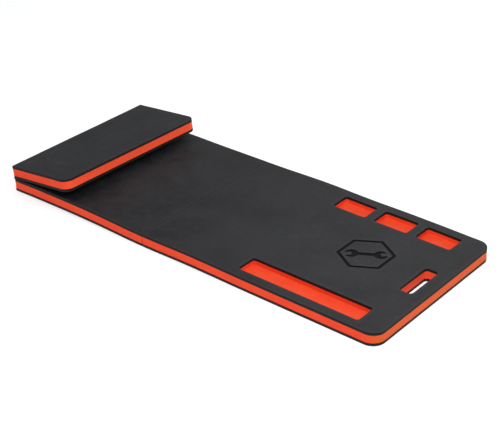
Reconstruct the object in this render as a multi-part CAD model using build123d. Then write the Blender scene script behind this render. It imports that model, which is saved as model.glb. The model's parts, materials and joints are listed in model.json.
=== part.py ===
from build123d import *
import math
import os

# Folding foam creeper mat. A black / orange / black foam laminate in three panels in line: a front panel with
# tool wells and a hand slot, a plain middle panel, and a head panel that folds back over the middle panel as a
# head rest. The panels are joined only by thin webs of the top skin, left as living hinges at the two folds.
#
# Millimetres, +Z up, +X towards the hand slot, Y across the mat. The origin is on the floor at the middle of
# the resting mat's length and width.

# Overall size
WIDTH = 430.0
FRONT_LENGTH = 622.0
MIDDLE_LENGTH = 413.0
HEAD_LENGTH = 190.0
FRONT_CORNER_RADIUS = 30.0
HEAD_CORNER_RADIUS = 22.0

# Laminate, from the floor up: bottom skin, core, top skin
SKIN = 7.0
CORE = 18.0
CORE_TOP = SKIN + CORE
THICKNESS = SKIN + CORE + SKIN

# Folds
HEAD_TILT = 6.4  # degrees by which the folded head panel stands open
FOLD_GAP = 0.3  # between neighbouring panels, both when flat and when folded shut
FOLD_RISE = FOLD_GAP / 2  # height of the fold axes above the top skin
WEB_THICKNESS = 1.5
WEB_REACH = 3.0  # how far a web is bonded into each panel
CREASE_WIDTH = 2.0
CREASE_DEPTH = 0.6

# Tool wells and hand slot, measured from the middle fold
WELL_DEPTH = 16.0
WELL_RADIUS = 6.0
SMALL_WELL_SIZE = (87.0, 52.0)
SMALL_WELL_COUNT = 3
SMALL_WELL_PITCH = 110.0
LONG_WELL_SIZE = (307.0, 53.0)
WELL_ROW_X = 408.0
WELL_ROW_Y = 165.5
SLOT_SIZE = (31.0, 103.0)
SLOT_RADIUS = 8.0
SLOT_X = 576.5

# Debossed mark: a hexagonal nut outline around an open-ended spanner
MARK_X = 432.0
MARK_Y = 18.0
MARK_ANGLE = 30.0
MARK_DEPTH = 1.5
NUT_RADIUS = 64.0
NUT_LINE = 7.0
SPANNER_CENTRES = 62.0
SPANNER_SHANK = 11.0
SPANNER_HEAD_RADIUS = 15.0
SPANNER_JAW = (18.0, 12.0)
SPANNER_JAW_ANGLE = 15.0

# Places along X in the row frame
TILT_RADIANS = math.radians(HEAD_TILT)
END_OVERHANG = (THICKNESS + FOLD_RISE) * math.sin(TILT_RADIANS) - FOLD_GAP / 2 * math.cos(TILT_RADIANS)
MIDDLE_FOLD_X = (MIDDLE_LENGTH + END_OVERHANG - FRONT_LENGTH) / 2
HEAD_FOLD_X = MIDDLE_FOLD_X - MIDDLE_LENGTH
FOLD_Z = THICKNESS + FOLD_RISE
HEAD_FOLD_AXIS = Axis((HEAD_FOLD_X, 0, FOLD_Z), (0, 1, 0))
HEAD_FOLD_TURN = 180 - HEAD_TILT

# Each panel drawn flat and unfolded: its low and high X
PANELS = {
    "front": (MIDDLE_FOLD_X + FOLD_GAP / 2, MIDDLE_FOLD_X + FRONT_LENGTH),
    "middle": (HEAD_FOLD_X + FOLD_GAP / 2, MIDDLE_FOLD_X - FOLD_GAP / 2),
    "head": (HEAD_FOLD_X - HEAD_LENGTH, HEAD_FOLD_X - FOLD_GAP / 2),
}
LAYERS = {
    "bottom_skin": (0.0, SKIN),
    "core": (SKIN, CORE_TOP),
    "top_skin": (CORE_TOP, THICKNESS),
}


def block(x_low, x_high, z_low, z_high):
    """A full-width slab between two X and two Z planes."""
    centre = ((x_low + x_high) / 2, 0, (z_low + z_high) / 2)
    return Pos(*centre) * Box(x_high - x_low, WIDTH, z_high - z_low)


def panel_layer(panel, layer):
    """One layer of one panel, flat, with its free corners rounded."""
    slab = block(*PANELS[panel], *LAYERS[layer])
    corners = slab.edges().filter_by(Axis.Z).sort_by(Axis.X)
    if panel == "front":
        return fillet(corners[-2:], FRONT_CORNER_RADIUS)
    if panel == "head":
        return fillet(corners[:2], HEAD_CORNER_RADIUS)
    return slab


def cutter(x, y, size, radius, z_low):
    """A rounded rectangular punch from z_low up past the top skin. X is measured from the middle fold."""
    outline = Pos(MIDDLE_FOLD_X + x, y, z_low) * RectangleRounded(*size, radius)
    return extrude(outline, THICKNESS + 1 - z_low)


def well_cutters():
    """The three small wells along one side and the long well along the other."""
    floor = THICKNESS - WELL_DEPTH
    cutters = []
    for i in range(SMALL_WELL_COUNT):
        x = WELL_ROW_X + (i - (SMALL_WELL_COUNT - 1) / 2) * SMALL_WELL_PITCH
        cutters.append(cutter(x, WELL_ROW_Y, SMALL_WELL_SIZE, WELL_RADIUS, floor))
    cutters.append(cutter(WELL_ROW_X, -WELL_ROW_Y, LONG_WELL_SIZE, WELL_RADIUS, floor))
    return cutters


def slot_cutter():
    """The hand slot, cut right through the laminate."""
    return cutter(SLOT_X, 0, SLOT_SIZE, SLOT_RADIUS, -1)


def spanner():
    """An open-ended spanner lying along X, as a flat outline."""
    shape = Rectangle(SPANNER_CENTRES, SPANNER_SHANK)
    for turn in (0, 180):
        place = Rot(0, 0, turn) * Pos(SPANNER_CENTRES / 2, 0)
        jaw = Rot(0, 0, SPANNER_JAW_ANGLE) * Pos(SPANNER_JAW[0] / 2, 0) * Rectangle(*SPANNER_JAW)
        shape = shape + place * Circle(SPANNER_HEAD_RADIUS) - place * jaw
    return shape


def mark_cutter():
    """The punch that debosses the nut-and-spanner mark into the top skin."""
    line_at_corner = NUT_LINE / math.cos(math.radians(30))
    nut = RegularPolygon(NUT_RADIUS, 6) - RegularPolygon(NUT_RADIUS - line_at_corner, 6)
    place = Pos(MIDDLE_FOLD_X + MARK_X, MARK_Y, THICKNESS - MARK_DEPTH) * Rot(0, 0, MARK_ANGLE)
    return extrude(place * (nut + spanner()), MARK_DEPTH + 1)


def web_seat(fold_x, side):
    """The rebate in a top skin that takes one edge of a hinge web: side is -1 or 1 from the fold."""
    x_low, x_high = sorted((fold_x, fold_x + side * WEB_REACH))
    return block(x_low, x_high, THICKNESS - WEB_THICKNESS, THICKNESS + 1)


def middle_fold_web():
    """The flat web at the middle fold, with a shallow crease along it."""
    web = block(MIDDLE_FOLD_X - WEB_REACH, MIDDLE_FOLD_X + WEB_REACH, THICKNESS - WEB_THICKNESS, THICKNESS)
    half = CREASE_WIDTH / 2
    radius = (half**2 + CREASE_DEPTH**2) / (2 * CREASE_DEPTH)
    groove = Rot(90, 0, 0) * Cylinder(radius, WIDTH + 2)
    return web - Pos(MIDDLE_FOLD_X, 0, THICKNESS - CREASE_DEPTH + radius) * groove


def head_fold_web():
    """The web at the head fold: a U that turns from the middle panel's top skin to the folded head panel's."""
    inner = FOLD_RISE
    outer = FOLD_RISE + WEB_THICKNESS
    along = Vector(math.cos(TILT_RADIANS), math.sin(TILT_RADIANS)) * WEB_REACH
    across = Vector(-math.sin(TILT_RADIANS), math.cos(TILT_RADIANS))
    with BuildSketch(Plane.XZ) as profile:
        with BuildLine():
            inside = CenterArc((0, 0), inner, 270, -HEAD_FOLD_TURN)
            outside = CenterArc((0, 0), outer, 270, -HEAD_FOLD_TURN)
            Polyline(inside @ 0, (WEB_REACH, -inner), (WEB_REACH, -outer), outside @ 0)
            Polyline(inside @ 1, along + across * inner, along + across * outer, outside @ 1)
        make_face()
    web = extrude(profile.sketch, WIDTH / 2, both=True)
    return Pos(HEAD_FOLD_X, 0, FOLD_Z) * web


def build_nodes():
    """Every node of the mat, in its resting place."""
    nodes = {}
    for panel in PANELS:
        for layer in LAYERS:
            nodes[f"{panel}_{layer}"] = panel_layer(panel, layer)

    for punch in well_cutters():
        nodes["front_top_skin"] -= punch
        nodes["front_core"] -= punch
    for layer in LAYERS:
        nodes[f"front_{layer}"] -= slot_cutter()
    nodes["front_top_skin"] -= mark_cutter()

    nodes["front_top_skin"] -= web_seat(MIDDLE_FOLD_X, 1)
    nodes["middle_top_skin"] -= web_seat(MIDDLE_FOLD_X, -1)
    nodes["middle_top_skin"] -= web_seat(HEAD_FOLD_X, 1)
    nodes["head_top_skin"] -= web_seat(HEAD_FOLD_X, -1)

    for layer in LAYERS:
        node = f"head_{layer}"
        nodes[node] = nodes[node].rotate(HEAD_FOLD_AXIS, HEAD_FOLD_TURN)

    nodes["middle_fold_web"] = middle_fold_web()
    nodes["head_fold_web"] = head_fold_web()
    return nodes


def main():
    os.makedirs("parts", exist_ok=True)
    for name, shape in build_nodes().items():
        export_step(shape, f"parts/{name}.step")


main()
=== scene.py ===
import json
import math

import bmesh
import bpy
import numpy as np
from mathutils import Matrix, Vector, noise
from mathutils.geometry import delaunay_2d_cdt


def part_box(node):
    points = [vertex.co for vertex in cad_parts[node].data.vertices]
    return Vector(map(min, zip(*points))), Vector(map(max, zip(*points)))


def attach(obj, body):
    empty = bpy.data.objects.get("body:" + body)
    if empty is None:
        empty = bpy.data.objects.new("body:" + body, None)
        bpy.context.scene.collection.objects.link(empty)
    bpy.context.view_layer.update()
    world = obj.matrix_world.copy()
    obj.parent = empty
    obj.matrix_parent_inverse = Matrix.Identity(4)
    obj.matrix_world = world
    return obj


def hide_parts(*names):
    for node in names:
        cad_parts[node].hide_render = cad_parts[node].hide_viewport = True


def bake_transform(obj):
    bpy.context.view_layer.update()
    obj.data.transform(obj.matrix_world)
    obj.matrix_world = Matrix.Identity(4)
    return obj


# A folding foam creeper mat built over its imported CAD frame. Lengths are in millimetres until a mesh is made,
# and panels are drawn flat and unfolded, then laid in place by lay_flat or lay_head.
MM = 0.001

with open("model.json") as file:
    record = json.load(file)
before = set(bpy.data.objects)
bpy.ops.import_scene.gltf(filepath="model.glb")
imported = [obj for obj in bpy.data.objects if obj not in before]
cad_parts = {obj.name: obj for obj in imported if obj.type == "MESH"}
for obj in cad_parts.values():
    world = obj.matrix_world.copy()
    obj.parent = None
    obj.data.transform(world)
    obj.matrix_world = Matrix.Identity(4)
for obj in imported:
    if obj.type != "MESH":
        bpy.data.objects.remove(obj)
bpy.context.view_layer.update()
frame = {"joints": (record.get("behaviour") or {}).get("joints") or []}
joints = {joint["name"]: joint for joint in frame["joints"]}

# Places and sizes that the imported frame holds
MIDDLE_FOLD_X = joints["middle_fold"]["pos_m"][0] / MM
HEAD_FOLD_X = joints["head_fold"]["pos_m"][0] / MM
FOLD_Z = joints["head_fold"]["pos_m"][2] / MM
HEAD_TILT = 180 + joints["head_fold"]["range_deg"][0]  # degrees
FRONT_END_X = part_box("front_core")[1].x / MM
HALF_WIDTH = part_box("front_core")[1].y / MM
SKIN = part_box("front_bottom_skin")[1].z / MM
CORE_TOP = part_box("front_core")[1].z / MM
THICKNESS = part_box("front_top_skin")[1].z / MM
HALF_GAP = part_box("front_core")[0].x / MM - MIDDLE_FOLD_X

# Sizes shared with the CAD source
HEAD_LENGTH = 190.0
FRONT_CORNER = 30.0
HEAD_CORNER = 22.0
WEB_THICKNESS = 1.5
WEB_REACH = 3.0
WELL_DEPTH = 16.0
WELL_FLOOR = THICKNESS - WELL_DEPTH
WELL_RADIUS = 6.0
SMALL_WELL = (87.0, 52.0)
SMALL_WELL_PITCH = 110.0
LONG_WELL = (307.0, 53.0)
WELL_ROW = (408.0, 165.5)
SLOT = (31.0, 103.0)
SLOT_RADIUS = 8.0
SLOT_X = 576.5
MARK_PLACE = (432.0, 18.0)
MARK_ANGLE = math.radians(30)
MARK_DEPTH = 1.5
NUT_RADIUS = 64.0
NUT_LINE = 7.0
SPANNER_CENTRES = 62.0
SPANNER_SHANK = 11.0
SPANNER_HEAD = 15.0
SPANNER_JAW = 12.0
SPANNER_JAW_ANGLE = math.radians(15)

# Small radii of the stamped mark, which the CAD source leaves sharp
NUT_CORNERS = (4.0, 3.0)  # outer and inner
SPANNER_NECK_FILLET = 2.0
SPANNER_JAW_TIP = 0.7
SPANNER_JAW_ROOT = 1.5

# Cuts that use has opened wider than the CAD source scores them
CREASE_REACH = 1.82  # from its line to where its shoulders end
CREASE_DEPTH = 0.85
SLIT_HALF = 0.7  # half the width of a cut under a fold
SEAT_REACH = WEB_REACH + HALF_GAP - SLIT_HALF  # from a panel's cut end to the edge of its web's seat

# Edges of the cut foam
SOFT_EDGE = 1.0  # rounding where a broad face meets a cut side
WELL_EDGE = 0.7
FLOOR_EDGE = 0.8
STAMP_EDGE = 0.4
STAMP_LEAN = 0.2  # how far a stamped wall leans in towards its floor
SEAM = 0.18  # small chamfer where two glued layers meet
SLIT_CORNER = 0.9
CORE_HOLLOW = 0.35  # how far the cut core draws in between the skins
CORE_ROWS = (0.0, 0.15, 0.5, 0.85, 1.0)  # shares of the core's height

# Spacing of the meshes
RUN_STEP = 7.0
SPANNER_STEP = 5.0
ARC_STEP = 1.8
MIN_ARC_STEPS = 3
SPANNER_ARC_STEP = math.radians(10)
ROUND_STEPS = 4  # rows of faces round an edge
SKIN_STEPS = 3  # of them, those that still show the broad face's finish
CREASE_STEPS = 24
WEB_LEG_STEPS = 3
WEB_BEND_STEPS = 14
SUPPORT = 1.3  # flat band kept beside each rounded edge
SEAT_SUPPORT = 0.4  # the same beside a web's seat
GRID = 9.0
GRID_ROW = GRID * 0.87
GRID_CLEARANCE = GRID * 0.5
TIGHT_CORNER = 0.05  # the smallest radius that an inset leaves a corner
STRAIGHT = 1e-3  # runs that turn less than this are in line
MERGE = 1e-5
SLIVER = 3e-5  # a triangle flatter than this lies along a straight rim and is left out
SHARP_ANGLE = math.radians(38)

SKIN_FACE, CUT_FACE, STAMPED_FACE = 0, 1, 2

# Wear written to the meshes, from 0 to 1, which shows as paler foam on the black skins and their cut sides
BAND_WEAR = 0.25
LEAST_EDGE_WEAR = 0.45
WEB_END_WEAR = 0.6
STAMP_BAND_WEAR = 0.15
STAMP_EDGE_WEAR = 0.3


# ---------------------------------------------------------------- outlines

class Outline:
    """A closed counter-clockwise outline with corners (x, y, radius), drawn at any inset with the same count."""

    def __init__(self, corners, step=RUN_STEP):
        self.corners = corners
        self.bends = []
        self.counts = []
        total = len(corners)
        for i, (x, y, radius) in enumerate(corners):
            here = Vector((x, y))
            run_in = here - Vector(corners[i - 1][:2])
            run_out = Vector(corners[(i + 1) % total][:2]) - here
            d_in, d_out = run_in.normalized(), run_out.normalized()
            turn = math.atan2(d_in.x * d_out.y - d_in.y * d_out.x, d_in.dot(d_out))
            arc_steps = max(MIN_ARC_STEPS, round(abs(turn) * radius / ARC_STEP)) if radius else 0
            self.bends.append((d_in, d_out, turn, arc_steps))
            self.counts.append(max(1, round(run_out.length / step)))

    def points(self, inset=0.0):
        """The outline's points with each run moved inwards by inset, or by its own entry in a list of insets."""
        total = len(self.corners)
        insets = inset if isinstance(inset, list) else [inset] * total
        arcs = [self.arc(i, insets[i - 1], insets[i]) for i in range(total)]
        points = []
        for i, arc in enumerate(arcs):
            points += arc
            start, end = arc[-1], arcs[(i + 1) % total][0]
            for k in range(1, self.counts[i]):
                points.append(start.lerp(end, k / self.counts[i]))
        return [(p.x, p.y) for p in points]

    def arc(self, i, a_in, a_out):
        """Corner i's arc, with the runs into and out of it moved inwards by a_in and a_out."""
        x, y, radius = self.corners[i]
        d_in, d_out, turn, steps = self.bends[i]
        n_in, n_out = Vector((-d_in.y, d_in.x)), Vector((-d_out.y, d_out.x))
        det = n_in.x * n_out.y - n_in.y * n_out.x
        if abs(det) < STRAIGHT:
            corner = Vector((x, y)) + n_in * a_in
        else:
            corner = Vector((
                x + (a_in * n_out.y - a_out * n_in.y) / det,
                y + (a_out * n_in.x - a_in * n_out.x) / det,
            ))
        if not steps:
            return [corner]
        bend = radius - max(a_in, a_out) if turn > 0 else radius + min(a_in, a_out)
        bend = max(bend, TIGHT_CORNER)
        side = n_in if turn > 0 else -n_in
        centre = corner - d_in * bend * math.tan(abs(turn) / 2) + side * bend
        return [centre + turned(-side * bend, turn * k / steps) for k in range(steps + 1)]


def turned(v, angle):
    return Matrix.Rotation(angle, 2) @ v


def rectangle(x, y, size, radius):
    """A rounded rectangle centred at x from the middle fold and y."""
    cx, hx, hy = MIDDLE_FOLD_X + x, size[0] / 2, size[1] / 2
    signs = ((-1, -1), (1, -1), (1, 1), (-1, 1))
    return Outline([(cx + sx * hx, y + sy * hy, radius) for sx, sy in signs])


def mark_point(x, y):
    """A point of the mark, drawn about its own centre, in its place on the front panel."""
    p = turned(Vector((x, y)), MARK_ANGLE)
    return MIDDLE_FOLD_X + MARK_PLACE[0] + p.x, MARK_PLACE[1] + p.y


def hexagon(radius, corner):
    places = [turned(Vector((radius, 0)), math.radians(60 * k)) for k in range(6)]
    return Outline([(*mark_point(p.x, p.y), corner) for p in places])


def spanner_outline():
    """An open-ended spanner lying along X, each head an arc with a jaw cut into it."""
    neck = math.asin(SPANNER_SHANK / 2 / SPANNER_HEAD)
    mouth = math.asin(SPANNER_JAW / 2 / SPANNER_HEAD)
    low, high = SPANNER_JAW_ANGLE - mouth, SPANNER_JAW_ANGLE + mouth
    head = []

    def arc(start, end, first, last):
        steps = round((end - start) / SPANNER_ARC_STEP)
        for k in range(steps + 1):
            a = start + (end - start) * k / steps
            radius = first if k == 0 else last if k == steps else 0
            head.append((SPANNER_HEAD * math.cos(a), SPANNER_HEAD * math.sin(a), radius))

    arc(-math.pi + neck, low, SPANNER_NECK_FILLET, SPANNER_JAW_TIP)
    for y in (-SPANNER_JAW / 2, SPANNER_JAW / 2):
        bottom = turned(Vector((0, y)), SPANNER_JAW_ANGLE)
        head.append((bottom.x, bottom.y, SPANNER_JAW_ROOT))
    arc(high, math.pi - neck, SPANNER_JAW_TIP, SPANNER_NECK_FILLET)
    corners = []
    for flip in (1, -1):
        corners += [(*mark_point(flip * (x + SPANNER_CENTRES / 2), flip * y), r) for x, y, r in head]
    return Outline(corners, SPANNER_STEP)


# ---------------------------------------------------------------- meshes

def inside(points, polygon):
    """Which of the points lie inside a polygon."""
    x, y = points[:, 0][:, None], points[:, 1][:, None]
    ax, ay = polygon[:, 0], polygon[:, 1]
    bx, by = np.roll(ax, -1), np.roll(ay, -1)
    crosses = (ay > y) != (by > y)
    with np.errstate(divide="ignore", invalid="ignore"):
        at = (bx - ax) * (y - ay) / (by - ay) + ax
    return ((crosses & (x < at)).sum(axis=1) % 2).astype(bool)


def covered(points, polygons):
    """Which points lie in the first polygon and outside the others."""
    keep = inside(points, polygons[0])
    for hole in polygons[1:]:
        keep &= ~inside(points, hole)
    return keep


class Shell:
    """A closed mesh being built ring by ring, in flat panel coordinates."""

    def __init__(self):
        self.points = []
        self.wear = []
        self.faces = []
        self.finish = []

    def add(self, point, wear=0.0):
        self.points.append(point)
        self.wear.append(wear)
        return len(self.points) - 1

    def face(self, corners, finish):
        self.faces.append(tuple(corners))
        self.finish.append(finish)

    def stack(self, outline, rows):
        """Rings of an outline at rows (z, inset, wear, finish of the wall below); gives the first and last ring."""
        rings = []
        for z, inset, wear, finish in rows:
            ring = [self.add((x, y, z), wear) for x, y in outline.points(inset)]
            if rings:
                below = rings[-1]
                for i in range(len(ring)):
                    j = (i + 1) % len(ring)
                    self.face((below[i], below[j], ring[j], ring[i]), finish)
            rings.append(ring)
        return rings[0], rings[-1]

    def cap(self, outer, holes, finish):
        """Fills between an outer ring and its holes, all at one height, with an even spread of points."""
        loops = [outer, *holes]
        polygons = [np.array([self.points[i][:2] for i in loop]) for loop in loops]
        used = [i for loop in loops for i in loop]
        edges = []
        for loop in loops:
            start, n = len(edges), len(loop)
            edges += [(start + k, start + (k + 1) % n) for k in range(n)]
        z = self.points[outer[0]][2]
        used += [self.add((x, y, z)) for x, y in self.spread(polygons)]
        flat = [Vector(self.points[i][:2]) for i in used]
        verts, _, faces, origins, _, _ = delaunay_2d_cdt(flat, edges, [], 0, MERGE)
        corners = np.array([[verts[v] for v in f] for f in faces])
        sides = corners - np.roll(corners, 1, axis=1)
        area = np.abs(sides[:, 0, 0] * sides[:, 1, 1] - sides[:, 0, 1] * sides[:, 1, 0])
        sound = area > SLIVER * (sides**2).sum(axis=2).max(axis=1)
        for f, keep in zip(faces, sound & covered(corners.mean(axis=1), polygons)):
            if keep:
                self.face([used[origins[v][0]] for v in f], finish)

    @staticmethod
    def spread(polygons):
        """Points on a staggered grid, inside the fill and clear of its rings."""
        low, high = polygons[0].min(axis=0), polygons[0].max(axis=0)
        rows = []
        for k, y in enumerate(np.arange(low[1] + GRID / 2, high[1], GRID_ROW)):
            xs = np.arange(low[0] + GRID / 2 * (1 + k % 2), high[0], GRID)
            rows.append(np.column_stack((xs, np.full(len(xs), y))))
        grid = np.vstack(rows)
        grid = grid[covered(grid, polygons)]
        rim = np.vstack(polygons)
        nearest = np.sqrt(((grid[:, None, :] - rim[None, :, :]) ** 2).sum(axis=2)).min(axis=1)
        return grid[nearest > GRID_CLEARANCE].tolist()

    def ribbon(self, low, high, stations):
        """A strip whose cross-section lies between two rows of (x, z), carried through the stations along Y."""
        n = len(low)
        rows = []
        for y, drop in stations:
            under = [self.add((x, y, z)) for x, z in low]
            over = [self.add((x, y, z - drop), WEB_END_WEAR if drop else 0.0) for x, z in high]
            rows.append(under + over[::-1])
        for a, b in zip(rows, rows[1:]):
            for i in range(2 * n):
                j = (i + 1) % (2 * n)
                self.face((a[i], a[j], b[j], b[i]), SKIN_FACE)
        for row in (rows[0], rows[-1]):
            for i in range(n - 1):
                self.face((row[i], row[i + 1], row[2 * n - 2 - i], row[2 * n - 1 - i]), CUT_FACE)


def make_piece(name, shell, place, materials):
    """The finished mesh of a shell, laid in place, as a foam piece."""
    mesh = bpy.data.meshes.new(name)
    mesh.from_pydata([Vector(place(*p)) * MM for p in shell.points], [], shell.faces)
    mesh.polygons.foreach_set("material_index", shell.finish)
    wear = mesh.attributes.new("wear", "FLOAT", "POINT")
    wear.data.foreach_set("value", np.array(shell.wear, np.float32))
    for material in materials:
        mesh.materials.append(material)
    bm = bmesh.new()
    bm.from_mesh(mesh)
    bmesh.ops.recalc_face_normals(bm, faces=bm.faces)
    open_edges = [e for e in bm.edges if len(e.link_faces) != 2]
    loose = [v for v in bm.verts if not v.link_faces]
    if open_edges or loose:
        raise RuntimeError(f"{name}: {len(open_edges)} open edges and {len(loose)} loose points")
    if bm.calc_volume(signed=True) < 0:
        bmesh.ops.reverse_faces(bm, faces=bm.faces)
    bm.to_mesh(mesh)
    bm.free()
    mesh.shade_smooth()
    mesh.set_sharp_from_angle(angle=SHARP_ANGLE)
    piece = bpy.data.objects.new(name, mesh)
    bpy.context.scene.collection.objects.link(piece)
    return piece


# ---------------------------------------------------------------- how the panels lie

HEAD_TILT_MIDDLE = HEAD_TILT + 0.4  # degrees, at the middle of the width
HEAD_TWIST = 0.55  # degrees more at the near side and less at the far side
HEAD_PUSH = 2.35  # how far the free end is pushed on from the fold, at the middle of the width
HEAD_YAW = 0.0174  # and how much more for each millimetre towards the far side
FOLD_PUSH = (-0.4, 2.8)  # the same for the fold end: at the near side, and how much more at the far side
HEAD_SHIFT = (-2.0, -4.5)  # sideways, at the fold and at the free end
FOLD_BULGE = 0.0065  # share by which the foam beside the folds has spread sideways
MIDDLE_BULGE_REACH = 140.0
HEAD_BULGE_REACH = 80.0

# The bow that each flat panel keeps: its height, and where along the front panel it starts and how long it is
FOLD_BOW, FOLD_BOW_LENGTH = 4.0, 340.0  # beside the middle fold, on the far side
FOLD_BOW_Y = -0.3  # share of the half width where it begins
LONG_BOW, LONG_BOW_START, LONG_BOW_LENGTH = 3.0, 120.0, 560.0  # along the far side
NEAR_BOW, NEAR_BOW_LENGTH = 1.1, 300.0
MIDDLE_BOW = 2.6
UNEVEN = ((0.22, 70, 3.1), (0.06, 19, 7.7))  # the broad faces' waves: height, size and seed


def bump(t):
    """0 outside 0 to 1, rising smoothly to 1 in the middle."""
    return math.sin(math.pi * t) ** 2 if 0 < t < 1 else 0.0


def ease(t):
    """A smooth step from 0 to 1."""
    t = min(max(t, 0.0), 1.0)
    return t * t * (3 - 2 * t)


def lift(x, y):
    """How far the flat panels stand off the floor, where the foam keeps a slight bow."""
    from_fold = x - MIDDLE_FOLD_X
    across = y / HALF_WIDTH
    if from_fold > 0:
        far = FOLD_BOW * bump(from_fold / FOLD_BOW_LENGTH) * ease((across - FOLD_BOW_Y) / (1 - FOLD_BOW_Y))
        far += LONG_BOW * bump((from_fold - LONG_BOW_START) / LONG_BOW_LENGTH) * ease(across)
        return far + NEAR_BOW * bump(from_fold / NEAR_BOW_LENGTH) * ease(-across)
    span = MIDDLE_FOLD_X - HEAD_FOLD_X
    return MIDDLE_BOW * bump(-from_fold / span) * (1 - across) / 2


def unevenness(x, y):
    """The broad faces' own slight unevenness."""
    return sum(height * noise.noise(Vector((x / size, y / size, seed))) for height, size, seed in UNEVEN)


def near_fold(x, fold_x, reach):
    """1 on a fold, dying away to 0 at its reach on both sides."""
    return bump((x - fold_x + reach) / (2 * reach))


def spread_out(x, y):
    """y where the foam beside the folds has spread sideways: at the head fold on the near side only."""
    at_middle = near_fold(x, MIDDLE_FOLD_X, MIDDLE_BULGE_REACH)
    at_head = near_fold(x, HEAD_FOLD_X, HEAD_BULGE_REACH) * ease(-y / HALF_WIDTH)
    return y * (1 + FOLD_BULGE * (at_middle + at_head))


def lay_flat(x, y, z):
    """A point of the front or middle panel, lying on the floor."""
    return x, spread_out(x, y), z + lift(x, y) + unevenness(x, y) * z / THICKNESS


def lay_head(x, y, z):
    """The head panel folded back over the middle panel, slightly askew and twisted, as a hand leaves it."""
    along = HEAD_FOLD_X - x
    above = FOLD_Z - z - unevenness(x, y) * (1 - z / THICKNESS)
    return head_place(along, above, y, along / HEAD_LENGTH)


def head_tilt(y):
    """The head panel's angle from the middle panel, in radians."""
    return math.radians(HEAD_TILT_MIDDLE - HEAD_TWIST * y / HALF_WIDTH)


def fold_push(y):
    """How far the head panel's fold end is pushed towards the middle fold."""
    near, rise = FOLD_PUSH
    return near + rise * ease((y / HALF_WIDTH + 1) / 2)


def head_place(along, above, y, reach):
    """A point along and above the head panel's lower face: reach is 0 at the fold and 1 at the free end."""
    tilt = head_tilt(y)
    dx = along * math.cos(tilt) - above * math.sin(tilt)
    dx += (HEAD_PUSH + HEAD_YAW * y) * reach + fold_push(y) * (1 - reach)
    dz = along * math.sin(tilt) + above * math.cos(tilt)
    dy = HEAD_SHIFT[0] + (HEAD_SHIFT[1] - HEAD_SHIFT[0]) * reach
    return HEAD_FOLD_X + dx, y + dy, FOLD_Z + dz


def lay_head_web(along_arc, y, out):
    """A point of the head fold's web: how far along it, from -1 to 2, and how far out from the fold's axis."""
    turn = math.pi - head_tilt(y)
    if along_arc <= 0:
        return HEAD_FOLD_X - along_arc * WEB_REACH, spread_out(HEAD_FOLD_X, y), FOLD_Z - out
    if along_arc >= 1:
        share = along_arc - 1
        x, y_head, z = head_place(share * WEB_REACH, out, y, 0.0)
        return x - fold_push(y) * (1 - share), y_head, z
    angle = 1.5 * math.pi - turn * along_arc
    x, z = HEAD_FOLD_X + out * math.cos(angle), FOLD_Z + out * math.sin(angle)
    y_flat, y_head = spread_out(HEAD_FOLD_X, y), y + HEAD_SHIFT[0]
    return x, y_flat + (y_head - y_flat) * along_arc, z


# ---------------------------------------------------------------- panels

# Low x, high x, corner radius at each end, and whether each end is a fold
PANELS = {
    "front": (MIDDLE_FOLD_X + SLIT_HALF, FRONT_END_X, SLIT_CORNER, FRONT_CORNER, True, False),
    "middle": (HEAD_FOLD_X + SLIT_HALF, MIDDLE_FOLD_X - SLIT_HALF, SLIT_CORNER, SLIT_CORNER, True, True),
    "head": (HEAD_FOLD_X - HEAD_LENGTH, HEAD_FOLD_X - SLIT_HALF, HEAD_CORNER, SLIT_CORNER, False, True),
}


def panel_outline(panel):
    """A panel's flat outline, whose runs are its near side, high end, far side and low end."""
    x_low, x_high, r_low, r_high, _, _ = PANELS[panel]
    return Outline([
        (x_low, -HALF_WIDTH, r_low),
        (x_high, -HALF_WIDTH, r_high),
        (x_high, HALF_WIDTH, r_high),
        (x_low, HALF_WIDTH, r_low),
    ])


def panel_insets(panel, side, fold):
    """An inset for each run of a panel's outline: one for its free sides and one for its folds."""
    _, _, _, _, low_is_fold, high_is_fold = PANELS[panel]
    return [side, fold if high_is_fold else side, side, fold if low_is_fold else side]


def rounding(radius):
    """(inset, drop) along a quarter round, from the broad face to the side."""
    turns = [math.pi / 2 * k / ROUND_STEPS for k in range(ROUND_STEPS + 1)]
    return [(radius * (1 - math.sin(a)), radius * (1 - math.cos(a))) for a in turns]


def edge_wear(k):
    """Wear at row k of a rounded edge: strongest in the middle of the round."""
    return LEAST_EDGE_WEAR + (1 - LEAST_EDGE_WEAR) * math.sin(math.pi * k / ROUND_STEPS)


def edge_finish(k, side=CUT_FACE):
    """Finish at row k of a rounded edge: the broad face's at first, then the side's."""
    return SKIN_FACE if k < SKIN_STEPS else side


def hole_rows(z_from, z_to, edge, sign=1):
    """Rows of a hole's wall, from its rounded rim at z_from to its glued end at z_to: sign is -1 if it runs up."""
    rows = [(z_from, -(edge + SUPPORT), BAND_WEAR, SKIN_FACE)]
    for k, (inset, drop) in enumerate(rounding(edge)):
        rows.append((z_from - sign * drop, -inset, edge_wear(k), edge_finish(k)))
    rows.append((z_to + sign * SEAM, 0.0, 0.0, CUT_FACE))
    rows.append((z_to, -SEAM, 0.0, CUT_FACE))
    return rows


def wells():
    """Outlines of the three small wells and the long one."""
    x, y = WELL_ROW
    small = [rectangle(x + k * SMALL_WELL_PITCH, y, SMALL_WELL, WELL_RADIUS) for k in (-1, 0, 1)]
    return small + [rectangle(x, -y, LONG_WELL, WELL_RADIUS)]


def slot_outline():
    return rectangle(SLOT_X, 0, SLOT, SLOT_RADIUS)


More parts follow.
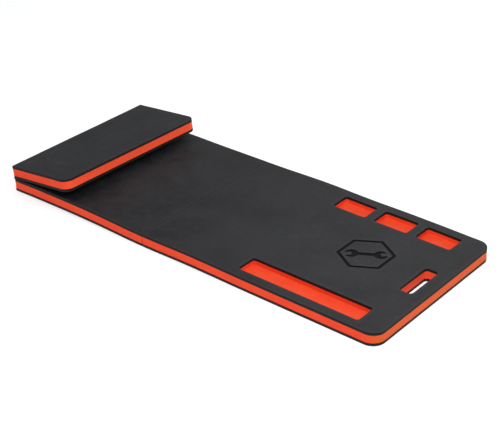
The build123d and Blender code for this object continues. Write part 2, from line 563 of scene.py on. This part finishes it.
def bottom_skin(panel):
    """A panel's black bottom skin, with the hand slot through the front one."""
    shell = Shell()
    rows = [(0.0, SOFT_EDGE + SUPPORT, BAND_WEAR, SKIN_FACE)]
    for k, (inset, drop) in enumerate(rounding(SOFT_EDGE)):
        rows.append((drop, inset, edge_wear(k), edge_finish(k)))
    rows += [(SKIN - SEAM, 0.0, 0.0, CUT_FACE), (SKIN, SEAM, 0.0, CUT_FACE)]
    low, high = shell.stack(panel_outline(panel), rows)
    low_holes, high_holes = [], []
    if panel == "front":
        under, over = shell.stack(slot_outline(), hole_rows(0.0, SKIN, WELL_EDGE, sign=-1))
        low_holes.append(under)
        high_holes.append(over)
    shell.cap(low, low_holes, SKIN_FACE)
    shell.cap(high, high_holes, CUT_FACE)
    return shell


def core(panel):
    """A panel's orange core, with the wells milled into the front one and the hand slot through it."""
    shell = Shell()
    rows = [(SKIN, SEAM, 0.0, CUT_FACE)]
    for share in CORE_ROWS:
        z = SKIN + SEAM + (CORE_TOP - SKIN - 2 * SEAM) * share
        rows.append((z, CORE_HOLLOW * 4 * share * (1 - share), 0.0, CUT_FACE))
    rows.append((CORE_TOP, SEAM, 0.0, CUT_FACE))
    low, high = shell.stack(panel_outline(panel), rows)
    low_holes, high_holes = [], []
    if panel == "front":
        through = [(SKIN, -SEAM, 0, CUT_FACE), (SKIN + SEAM, 0.0, 0, CUT_FACE)]
        through += [(CORE_TOP - SEAM, 0.0, 0, CUT_FACE), (CORE_TOP, -SEAM, 0, CUT_FACE)]
        under, over = shell.stack(slot_outline(), through)
        low_holes.append(under)
        high_holes.append(over)
        for well in wells():
            rows = [(CORE_TOP, -SEAM, 0, CUT_FACE), (CORE_TOP - SEAM, 0.0, 0, CUT_FACE)]
            for inset, drop in rounding(FLOOR_EDGE)[::-1]:
                rows.append((WELL_FLOOR + drop, inset, 0, CUT_FACE))
            rows.append((WELL_FLOOR, FLOOR_EDGE + SUPPORT, 0, SKIN_FACE))
            rim, floor = shell.stack(well, rows)
            high_holes.append(rim)
            shell.cap(floor, [], SKIN_FACE)
    shell.cap(low, low_holes, CUT_FACE)
    shell.cap(high, high_holes, CUT_FACE)
    return shell


def top_skin(panel):
    """A panel's black top skin, rebated for its webs: the front one has the wells, the hand slot and the mark."""
    shell = Shell()
    seat = THICKNESS - WEB_THICKNESS

    def insets(side, fold):
        return panel_insets(panel, side, fold)

    rows = [
        (CORE_TOP, insets(SEAM, SEAM), 0.0, CUT_FACE),
        (CORE_TOP + SEAM, insets(0.0, 0.0), 0.0, CUT_FACE),
        (seat, insets(0.0, 0.0), 0.0, CUT_FACE),
        (seat, insets(0.0, SEAT_REACH), 0.0, CUT_FACE),
    ]
    for k, (inset, drop) in list(enumerate(rounding(SOFT_EDGE)))[::-1]:
        rows.append((THICKNESS - drop, insets(inset, SEAT_REACH), edge_wear(k), edge_finish(k)))
    rows.append((THICKNESS, insets(SOFT_EDGE + SUPPORT, SEAT_REACH + SEAT_SUPPORT), BAND_WEAR, SKIN_FACE))
    low, high = shell.stack(panel_outline(panel), rows)
    low_holes, high_holes = [], []
    if panel == "front":
        for hole in [*wells(), slot_outline()]:
            over, under = shell.stack(hole, hole_rows(THICKNESS, CORE_TOP, WELL_EDGE))
            low_holes.append(under)
            high_holes.append(over)
        high_holes.append(stamp_mark(shell))
    shell.cap(low, low_holes, CUT_FACE)
    shell.cap(high, high_holes, SKIN_FACE)
    return shell


def stamp_rows(side):
    """Rows down a stamped edge: the groove lies on the side that insets of this sign move towards."""
    rows = [(THICKNESS, -side * (STAMP_EDGE + SUPPORT), STAMP_BAND_WEAR, SKIN_FACE)]
    for k, (inset, drop) in enumerate(rounding(STAMP_EDGE)):
        rows.append((THICKNESS - drop, -side * inset, STAMP_EDGE_WEAR, edge_finish(k, STAMPED_FACE)))
    for inset, drop in rounding(STAMP_EDGE)[::-1]:
        rows.append((THICKNESS - MARK_DEPTH + drop, side * (STAMP_LEAN + inset), 0.0, STAMPED_FACE))
    return rows


def stamp_mark(shell):
    """Debosses the nut and the spanner, fills inside the nut, and gives the ring that the top face starts from."""
    line_at_corner = NUT_LINE / math.cos(math.radians(30))
    outer, inner = NUT_CORNERS
    rim, outer_floor = shell.stack(hexagon(NUT_RADIUS, outer), stamp_rows(1))
    island, inner_floor = shell.stack(hexagon(NUT_RADIUS - line_at_corner, inner), stamp_rows(-1))
    shell.cap(outer_floor, [inner_floor], STAMPED_FACE)
    spanner_rim, spanner_floor = shell.stack(spanner_outline(), stamp_rows(1))
    shell.cap(spanner_floor, [], STAMPED_FACE)
    shell.cap(island, [spanner_rim], SKIN_FACE)
    return rim


def web_stations():
    """Y stations along a web, with how far its top drops at the rounded ends."""
    ends = [(HALF_WIDTH - inset, drop) for inset, drop in rounding(SOFT_EDGE)[::-1]]
    count = round(2 * HALF_WIDTH / RUN_STEP)
    inner = HALF_WIDTH - SOFT_EDGE - SUPPORT
    middle = [(-inner + 2 * inner * k / count, 0.0) for k in range(count + 1)]
    return [(-y, drop) for y, drop in ends] + middle + ends[::-1]


def middle_web():
    """The flat web at the middle fold, with the shallow crease that folding leaves along it."""
    shell = Shell()
    low, high = [], []
    for k in range(CREASE_STEPS + 1):
        across = -WEB_REACH + 2 * WEB_REACH * k / CREASE_STEPS
        crease = CREASE_DEPTH * (1 - ease(abs(across) / CREASE_REACH))
        low.append((MIDDLE_FOLD_X + across, THICKNESS - WEB_THICKNESS))
        high.append((MIDDLE_FOLD_X + across, THICKNESS - crease))
    shell.ribbon(low, high, web_stations())
    return shell


def head_web():
    """The web at the head fold, drawn as (how far along it, out from the axis) and laid by lay_head_web."""
    shell = Shell()
    along = [k / WEB_LEG_STEPS - 1 for k in range(WEB_LEG_STEPS)]
    along += [k / WEB_BEND_STEPS for k in range(WEB_BEND_STEPS + 1)]
    along += [1 + k / WEB_LEG_STEPS for k in range(1, WEB_LEG_STEPS + 1)]
    inner = [(a, HALF_GAP) for a in along]
    outer = [(a, HALF_GAP + WEB_THICKNESS) for a in along]
    shell.ribbon(outer, inner, [(y, 0.0) for y, _ in web_stations()])
    return shell


# ---------------------------------------------------------------- materials

class Nodes:
    """Small helper for building a material's node tree. Scales are per metre and bump distances in metres."""

    def __init__(self, name):
        self.material = bpy.data.materials.new(name)
        self.material.use_nodes = True
        self.tree = self.material.node_tree
        self.shader = self.tree.nodes["Principled BSDF"]
        self.object = self.tree.nodes.new("ShaderNodeTexCoord").outputs["Object"]

    def link(self, source, target):
        if isinstance(source, (int, float, tuple)):
            target.default_value = source
        else:
            self.tree.links.new(source, target)

    def new(self, kind, settings=(), inputs=(), out=0):
        node = self.tree.nodes.new(kind)
        for key, value in dict(settings).items():
            setattr(node, key, value)
        for key, value in dict(inputs).items():
            self.link(value, node.inputs[key])
        return node.outputs[out]

    def scaled(self, scale):
        return self.new("ShaderNodeMapping", {}, {"Vector": self.object, "Scale": scale})

    def noise(self, scale, detail=3.0, rough=0.5, vector=None, distortion=0.0):
        inputs = {"Vector": vector or self.object, "Scale": scale, "Detail": detail}
        inputs |= {"Roughness": rough, "Distortion": distortion}
        return self.new("ShaderNodeTexNoise", {}, inputs)

    def cells(self, scale, feature="F1"):
        return self.new("ShaderNodeTexVoronoi", {"feature": feature}, {"Vector": self.object, "Scale": scale})

    def span(self, value, from_low, from_high, to_low=0.0, to_high=1.0, smooth=False):
        settings = {"interpolation_type": "SMOOTHSTEP" if smooth else "LINEAR", "clamp": True}
        inputs = {"Value": value, "From Min": from_low, "From Max": from_high}
        inputs |= {"To Min": to_low, "To Max": to_high}
        return self.new("ShaderNodeMapRange", settings, inputs)

    def math(self, operation, a, b=0.0):
        return self.new("ShaderNodeMath", {"operation": operation}, {0: a, 1: b})

    def mix(self, share, a, b):
        """Colour a turning to colour b as share goes from 0 to 1."""
        factor, color_a, color_b, result = 0, 6, 7, 2
        inputs = {factor: share, color_a: a, color_b: b}
        return self.new("ShaderNodeMix", {"data_type": "RGBA"}, inputs, result)

    def bump(self, height, distance, strength, under=None):
        inputs = {"Height": height, "Distance": distance, "Strength": strength}
        if under is not None:
            inputs["Normal"] = under
        return self.new("ShaderNodeBump", {}, inputs)

    def rough_height(self, cell, streak, streak_share):
        """The height of open cells with streaks across them."""
        return self.math("ADD", self.math("MULTIPLY", cell, 0.8), self.math("MULTIPLY", streak, streak_share))

    def wear(self):
        """The wear that Shell.add wrote."""
        return self.new("ShaderNodeAttribute", {"attribute_name": "wear"}, out=2)

    def finish(self, color, roughness, normal, specular):
        self.link(color, self.shader.inputs["Base Color"])
        self.link(roughness, self.shader.inputs["Roughness"])
        self.link(normal, self.shader.inputs["Normal"])
        self.shader.inputs["Specular IOR Level"].default_value = specular
        return self.material


BLACK_BLUE = 1.12  # how much bluer than grey the black foam is


def grey(value):
    return (value, value, value * BLACK_BLUE, 1.0)


# Tones of the black foam
SKIN_DARK, SKIN_MID, SKIN_PALE = grey(0.0075), grey(0.0155), grey(0.021)
SKIN_PIT, SKIN_PORE = grey(0.005), grey(0.004)
SKIN_FLECK, SKIN_SCUFF, SKIN_WORN = grey(0.040), grey(0.045), grey(0.060)
CUT_DARK, CUT_MID, CUT_CELL, CUT_WORN = grey(0.0034), grey(0.0058), grey(0.011), grey(0.035)
STAMP_DARK, STAMP_MID = grey(0.0028), grey(0.0050)


def black_skin():
    """The moulded closed-cell skin: fine pebbling, cloudy patches, faint scuffs and pin-prick pores."""
    n = Nodes("black_foam_skin")
    cloud = n.noise(scale=9.0, detail=4.0, rough=0.55)
    patch = n.noise(scale=42.0, detail=4.0, rough=0.6)
    fleck = n.noise(scale=900.0, detail=2.0, rough=0.6)
    pebble = n.cells(scale=620.0, feature="SMOOTH_F1")
    pore = n.span(n.cells(scale=210.0), 0.05, 0.12, 1.0, 0.0)
    along = n.scaled((7.0, 60.0, 30.0))
    scuff = n.noise(scale=3.0, detail=5.0, rough=0.65, vector=along, distortion=0.6)
    scuff = n.span(scuff, 0.62, 0.74, smooth=True)
    base = n.mix(n.span(cloud, 0.36, 0.64), SKIN_DARK, SKIN_MID)
    base = n.mix(n.span(patch, 0.42, 0.66, 0.0, 0.6), base, SKIN_PALE)
    base = n.mix(n.math("MULTIPLY", scuff, 0.4), base, SKIN_SCUFF)
    base = n.mix(n.span(fleck, 0.50, 0.75, 0.0, 0.75), base, SKIN_PIT)
    base = n.mix(n.span(fleck, 0.28, 0.46, 0.4, 0.0), base, SKIN_FLECK)
    base = n.mix(n.math("MULTIPLY", pore, 0.6), base, SKIN_PORE)
    base = n.mix(n.math("MULTIPLY", n.wear(), 0.35), base, SKIN_WORN)
    rough = n.span(patch, 0.35, 0.65, 0.50, 0.62)
    rough = n.math("SUBTRACT", rough, n.math("MULTIPLY", scuff, 0.06))
    height = n.math("MULTIPLY", pebble, 0.7)
    height = n.math("ADD", height, n.math("MULTIPLY", n.noise(scale=1900.0, detail=2.0), 0.35))
    height = n.math("SUBTRACT", height, n.math("MULTIPLY", pore, 0.5))
    normal = n.bump(height, distance=0.00040, strength=0.8)
    normal = n.bump(patch, distance=0.0006, strength=0.25, under=normal)
    return n.finish(base, rough, normal, specular=0.2)


def black_cut():
    """Black foam where a blade has cut it: matt, open-celled and darker."""
    n = Nodes("black_foam_cut")
    cell = n.cells(scale=1050.0)
    drag = n.noise(scale=1.0, detail=4.0, rough=0.6, vector=n.scaled((35.0, 35.0, 1500.0)))
    patch = n.noise(scale=70.0)
    base = n.mix(n.span(patch, 0.3, 0.7), CUT_DARK, CUT_MID)
    base = n.mix(n.span(cell, 0.25, 0.6, 0.0, 0.5), base, CUT_CELL)
    base = n.mix(n.math("MULTIPLY", n.wear(), 0.3), base, CUT_WORN)
    normal = n.bump(n.rough_height(cell, drag, 0.6), distance=0.00045, strength=0.9)
    return n.finish(base, n.span(drag, 0.3, 0.7, 0.62, 0.80), normal, specular=0.2)


def black_stamped():
    """The skin pressed down by a hot die: smoother and darker."""
    n = Nodes("black_foam_stamped")
    patch = n.noise(scale=60.0)
    pebble = n.cells(scale=700.0, feature="SMOOTH_F1")
    base = n.mix(n.span(patch, 0.3, 0.7), STAMP_DARK, STAMP_MID)
    height = n.math("ADD", pebble, n.math("MULTIPLY", n.noise(scale=1500.0, detail=2.0), 0.3))
    normal = n.bump(height, distance=0.00008, strength=0.7)
    return n.finish(base, n.span(patch, 0.3, 0.7, 0.52, 0.62), normal, specular=0.05)


# Tones of the orange foam
ORANGE = (0.88, 0.058, 0.016, 1.0)
ORANGE_PALE = (0.91, 0.080, 0.022, 1.0)
ORANGE_DEEP = (0.78, 0.036, 0.012, 1.0)
# Painted sheen: a yellower orange for the front end's cut face, standing in for the light that falls on it from the
# front
ORANGE_PAINTED_FRONT_SHEEN = (0.69, 0.122, 0.022, 1.0)
# Painted sheen: a paler orange for the head's free end and the hand slot's walls, standing in for the light that
# falls on them from the front
ORANGE_PAINTED_SHEEN = (0.95, 0.098, 0.033, 1.0)
ORANGE_PIT = (0.50, 0.022, 0.008, 1.0)
FLOOR_ORANGE = (0.76, 0.056, 0.017, 1.0)
FLOOR_PALE = (0.79, 0.075, 0.022, 1.0)


def metres(*lengths):
    return tuple(length * MM for length in lengths)


# Where painted sheen pales the cut orange on faces turned towards the front end: the start and the end of each
# change along an axis
END_MARGIN = 4  # millimetres, as are the next two
SLOT_MARGIN = 8
MASK_EDGE = 2
HEAD_END = HEAD_FOLD_X + HEAD_LENGTH
SLOT_START = MIDDLE_FOLD_X + SLOT_X - SLOT[0]
SLOT_SIDE = SLOT[1] / 2 + SLOT_MARGIN
FRONT_SHEEN_X = metres(FRONT_END_X - FRONT_CORNER, FRONT_END_X - END_MARGIN)
HEAD_END_X = metres(HEAD_END - HEAD_CORNER, HEAD_END - END_MARGIN)
HEAD_END_Z = metres(FOLD_Z + MASK_EDGE, FOLD_Z + 2 * MASK_EDGE)
SLOT_START_X = metres(SLOT_START, SLOT_START + MASK_EDGE)
SLOT_SIDE_Y = metres(SLOT_SIDE, SLOT_SIDE + MASK_EDGE)


def orange_cut():
    """The core's cut side: fine open cells, level streaks from the blade, and painted sheen on the faces turned
    towards the front end.
    """
    n = Nodes("orange_foam_cut")
    cell = n.cells(scale=900.0)
    drag = n.noise(scale=1.0, detail=4.0, rough=0.6, vector=n.scaled((30.0, 30.0, 1100.0)))
    cloud = n.noise(scale=28.0)
    base = n.mix(n.span(cloud, 0.3, 0.7), ORANGE, ORANGE_PALE)
    x, y, z = (n.new("ShaderNodeSeparateXYZ", {}, {"Vector": n.object}, out=k) for k in range(3))
    painted_sheen_head_end = n.math("MULTIPLY", n.span(x, *HEAD_END_X), n.span(z, *HEAD_END_Z))
    painted_sheen_slot_band = n.span(n.math("ABSOLUTE", y), *SLOT_SIDE_Y, 1.0, 0.0)
    painted_sheen_slot = n.math("MULTIPLY", n.span(x, *SLOT_START_X), painted_sheen_slot_band)
    # Painted sheen on the head's free end and the hand slot's walls, standing in for the light from the front
    base = n.mix(n.math("MULTIPLY", n.math("MAXIMUM", painted_sheen_head_end, painted_sheen_slot), 0.9), base, ORANGE_PAINTED_SHEEN)
    # Painted sheen on the front end's cut face, standing in for the light from the front
    base = n.mix(n.math("MULTIPLY", n.span(x, *FRONT_SHEEN_X), 0.85), base, ORANGE_PAINTED_FRONT_SHEEN)
    base = n.mix(n.span(drag, 0.35, 0.7, 0.0, 0.35), base, ORANGE_DEEP)
    base = n.mix(n.span(cell, 0.1, 0.4, 0.8, 0.0), base, ORANGE_PIT)
    normal = n.bump(n.rough_height(cell, drag, 0.6), distance=0.00055, strength=0.8)
    return n.finish(base, n.span(drag, 0.3, 0.7, 0.55, 0.75), normal, specular=0.15)


def orange_floor():
    """A tool well's milled floor: the same foam with faint parallel cutter tracks."""
    n = Nodes("orange_foam_floor")
    cell = n.cells(scale=850.0)
    track = n.noise(scale=1.0, vector=n.scaled((14.0, 330.0, 330.0)))
    cloud = n.noise(scale=35.0)
    base = n.mix(n.span(cloud, 0.3, 0.7), FLOOR_ORANGE, FLOOR_PALE)
    base = n.mix(n.span(track, 0.4, 0.7, 0.0, 0.2), base, ORANGE_DEEP)
    base = n.mix(n.span(cell, 0.1, 0.4, 0.7, 0.0), base, ORANGE_PIT)
    normal = n.bump(n.rough_height(cell, track, 1.2), distance=0.00050, strength=0.8)
    return n.finish(base, n.span(track, 0.3, 0.7, 0.55, 0.72), normal, specular=0.15)


# ---------------------------------------------------------------- the mat

blacks = [black_skin(), black_cut(), black_stamped()]
oranges = [orange_floor(), orange_cut()]
LAYERS = {
    "top_skin": (top_skin, blacks, "black_foam"),
    "core": (core, oranges, "orange_foam"),
    "bottom_skin": (bottom_skin, blacks, "black_foam"),
}
for panel in PANELS:
    lay = lay_head if panel == "head" else lay_flat
    for layer, (build, materials, slot) in LAYERS.items():
        piece = make_piece(f"{panel}_{layer}_foam", build(panel), lay, materials)
        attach(piece, f"{panel}_panel")
        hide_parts(f"{panel}_{layer}")

fold_web = make_piece("middle_fold_web_foam", middle_web(), lay_flat, blacks)
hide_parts("middle_fold_web")
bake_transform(fold_web)

# The web bends in a narrow band at the fold's axis and is flat on either side of it
hinge_web = make_piece("head_fold_web_foam", head_web(), lay_head_web, blacks)
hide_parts("head_fold_web")
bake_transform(hinge_web)


# ---------------------------------------------------------------- floor, light and camera

FLOOR_REACH = 12.0
FLOOR_DROP = 0.0002  # below the mat, so that the two never share a plane
FLOOR_GREY = (0.52, 0.52, 0.52, 1.0)
FLOOR_GLOW = 0.60
WHITE = (1.0, 1.0, 1.0)
SKY = (0.96, 0.98, 1.0, 1.0)
SKY_STRENGTH = 0.45

# Soft lights: name, place and target in metres, size, power in watts and colour
LIGHTS = [
    ("overhead", (-0.7, 0.1, 2.9), (0.1, 0, 0), (2.6, 2.4), 18, WHITE),
    ("fill", (0.48, -0.15, 0.9), (-0.3, 0, 0.06), (0.6, 0.8), 5.5, WHITE),
    ("key", (1.5, -2.2, 2.0), (0.1, 0, 0), (2.0, 2.0), 25.5, WHITE),
    ("back", (-0.1, 1.8, 1.1), (0.4, 0.0, 0.0), (1.8, 0.9), 8, WHITE),
    ("back_right", (2.4, 2.0, 0.5), (0.4, 0.0, 0.0), (1.6, 0.6), 11, (1.0, 0.88, 0.66)),
]

floor_material = bpy.data.materials.new("studio_floor")
floor_material.use_nodes = True
floor_shader = floor_material.node_tree.nodes["Principled BSDF"]
floor_shader.inputs["Base Color"].default_value = FLOOR_GREY
floor_shader.inputs["Roughness"].default_value = 0.9
floor_shader.inputs["Specular IOR Level"].default_value = 0.1
floor_shader.inputs["Emission Color"].default_value = (*WHITE, 1.0)
floor_shader.inputs["Emission Strength"].default_value = FLOOR_GLOW

floor_mesh = bpy.data.meshes.new("floor")
floor_signs = ((-1, -1), (1, -1), (1, 1), (-1, 1))
floor_corners = [(sx * FLOOR_REACH, sy * FLOOR_REACH, 0) for sx, sy in floor_signs]
floor_mesh.from_pydata(floor_corners, [], [(0, 1, 2, 3)])
floor_mesh.materials.append(floor_material)
floor = bpy.data.objects.new("floor", floor_mesh)
bpy.context.scene.collection.objects.link(floor)
floor.location.z = -FLOOR_DROP

scene = bpy.context.scene
scene.view_settings.view_transform = "Standard"
scene.view_settings.look = "None"
world = bpy.data.worlds.new("studio")
scene.world = world
world.use_nodes = True
background = world.node_tree.nodes["Background"]
background.inputs["Color"].default_value = SKY
background.inputs["Strength"].default_value = SKY_STRENGTH

for name, place, target, size, power, color in LIGHTS:
    data = bpy.data.lights.new(name, "AREA")
    data.shape = "RECTANGLE"
    data.size, data.size_y = size
    data.energy = power
    data.color = color
    light = bpy.data.objects.new(name, data)
    light.location = place
    light.rotation_mode = "QUATERNION"
    light.rotation_quaternion = (Vector(target) - Vector(place)).to_track_quat("-Z", "Y")
    light.visible_camera = False
    scene.collection.objects.link(light)

# The camera stands where the photograph was taken from, placed in metres from the middle fold
CAMERA_AZIMUTH = math.radians(40.23)
CAMERA_ELEVATION = math.radians(29.815)
CAMERA_ROLL = math.radians(-1.02)
CAMERA_PLACE = Vector((MIDDLE_FOLD_X * MM + 1.77488, -1.94677, 1.49749))
CAMERA_LENS = 94.80
CAMERA_SENSOR = 36.0

back = Vector((
    math.sin(CAMERA_AZIMUTH) * math.cos(CAMERA_ELEVATION),
    -math.cos(CAMERA_AZIMUTH) * math.cos(CAMERA_ELEVATION),
    math.sin(CAMERA_ELEVATION),
))
level = (-back).cross(Vector((0, 0, 1))).normalized()
upright = level.cross(-back)
right = level * math.cos(CAMERA_ROLL) + upright * math.sin(CAMERA_ROLL)
up = upright * math.cos(CAMERA_ROLL) - level * math.sin(CAMERA_ROLL)
camera_data = bpy.data.cameras.new("camera")
camera_data.lens = CAMERA_LENS
camera_data.sensor_width = CAMERA_SENSOR
camera = bpy.data.objects.new("camera", camera_data)
camera.matrix_world = Matrix((
    (right.x, up.x, back.x, CAMERA_PLACE.x),
    (right.y, up.y, back.y, CAMERA_PLACE.y),
    (right.z, up.z, back.z, CAMERA_PLACE.z),
    (0, 0, 0, 1),
))
scene.collection.objects.link(camera)
scene.camera = camera

bpy.context.view_layer.update()
